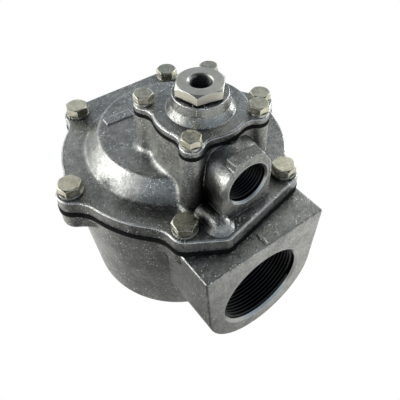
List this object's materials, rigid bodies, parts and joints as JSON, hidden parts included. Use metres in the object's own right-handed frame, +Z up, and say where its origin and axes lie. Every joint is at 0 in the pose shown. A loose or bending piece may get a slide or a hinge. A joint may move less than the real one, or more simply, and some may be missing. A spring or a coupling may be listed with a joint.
{
  "type": "diaphragm_valve",
  "caption": "Right-angle diaphragm pulse valve for dust collector cleaning: cast body and bonnet, offset pilot tower, threaded ports",
  "frame": {"origin": "centre of the outlet port's face, at the bottom of the valve", "axes": "+Z up along the main valve axis, +X out of the inlet port, the exhaust port and pilot tower are on the +X side"},
  "size_m": [0.1634, 0.163, 0.1666],
  "materials": {
    "cast_aluminium": "satin",
    "rubber_black": "matte",
    "plated_steel": "satin",
    "washer_steel": "satin",
    "stainless": "satin"
  },
  "bodies": {
    "casing": {"valve_body": "cast_aluminium", "bonnet": "cast_aluminium", "pilot_cover": "cast_aluminium", "main_diaphragm": "rubber_black", "pilot_diaphragm": "rubber_black", "fitting_washer": "rubber_black", "pilot_fitting": "plated_steel", "main_bolt_1": "plated_steel", "main_lock_washer_1": "washer_steel", "main_bolt_2": "plated_steel", "main_lock_washer_2": "washer_steel", "main_bolt_3": "plated_steel", "main_lock_washer_3": "washer_steel", "main_bolt_4": "plated_steel", "main_lock_washer_4": "washer_steel", "main_bolt_5": "plated_steel", "main_lock_washer_5": "washer_steel", "main_bolt_6": "plated_steel", "main_lock_washer_6": "washer_steel", "pilot_bolt_1": "plated_steel", "pilot_lock_washer_1": "washer_steel", "pilot_bolt_2": "plated_steel", "pilot_lock_washer_2": "washer_steel", "pilot_bolt_3": "plated_steel", "pilot_lock_washer_3": "washer_steel", "pilot_bolt_4": "plated_steel", "pilot_lock_washer_4": "washer_steel", "main_spring": "stainless", "pilot_spring": "stainless"},
    "main_centre": {"main_top_plate": "stainless", "main_seat_plate": "stainless", "main_plate_nut": "stainless", "main_plate_screw": "stainless"},
    "pilot_centre": {"pilot_top_plate": "stainless", "pilot_back_plate": "stainless", "pilot_rivet": "stainless"}
  },
  "joints": [
    {"name": "main_lift", "type": "slide", "parent": "casing", "child": "main_centre", "axis": [0, 0, 1], "range_m": [0, 0.008], "stiffness_N_per_m": 2000, "springref_m": -0.015, "deforming": ["main_diaphragm", "main_spring"]},
    {"name": "pilot_lift", "type": "slide", "parent": "casing", "child": "pilot_centre", "axis": [0, 0, 1], "range_m": [0, 0.003], "stiffness_N_per_m": 600, "springref_m": -0.006, "deforming": ["pilot_diaphragm", "pilot_spring"]}
  ]
}
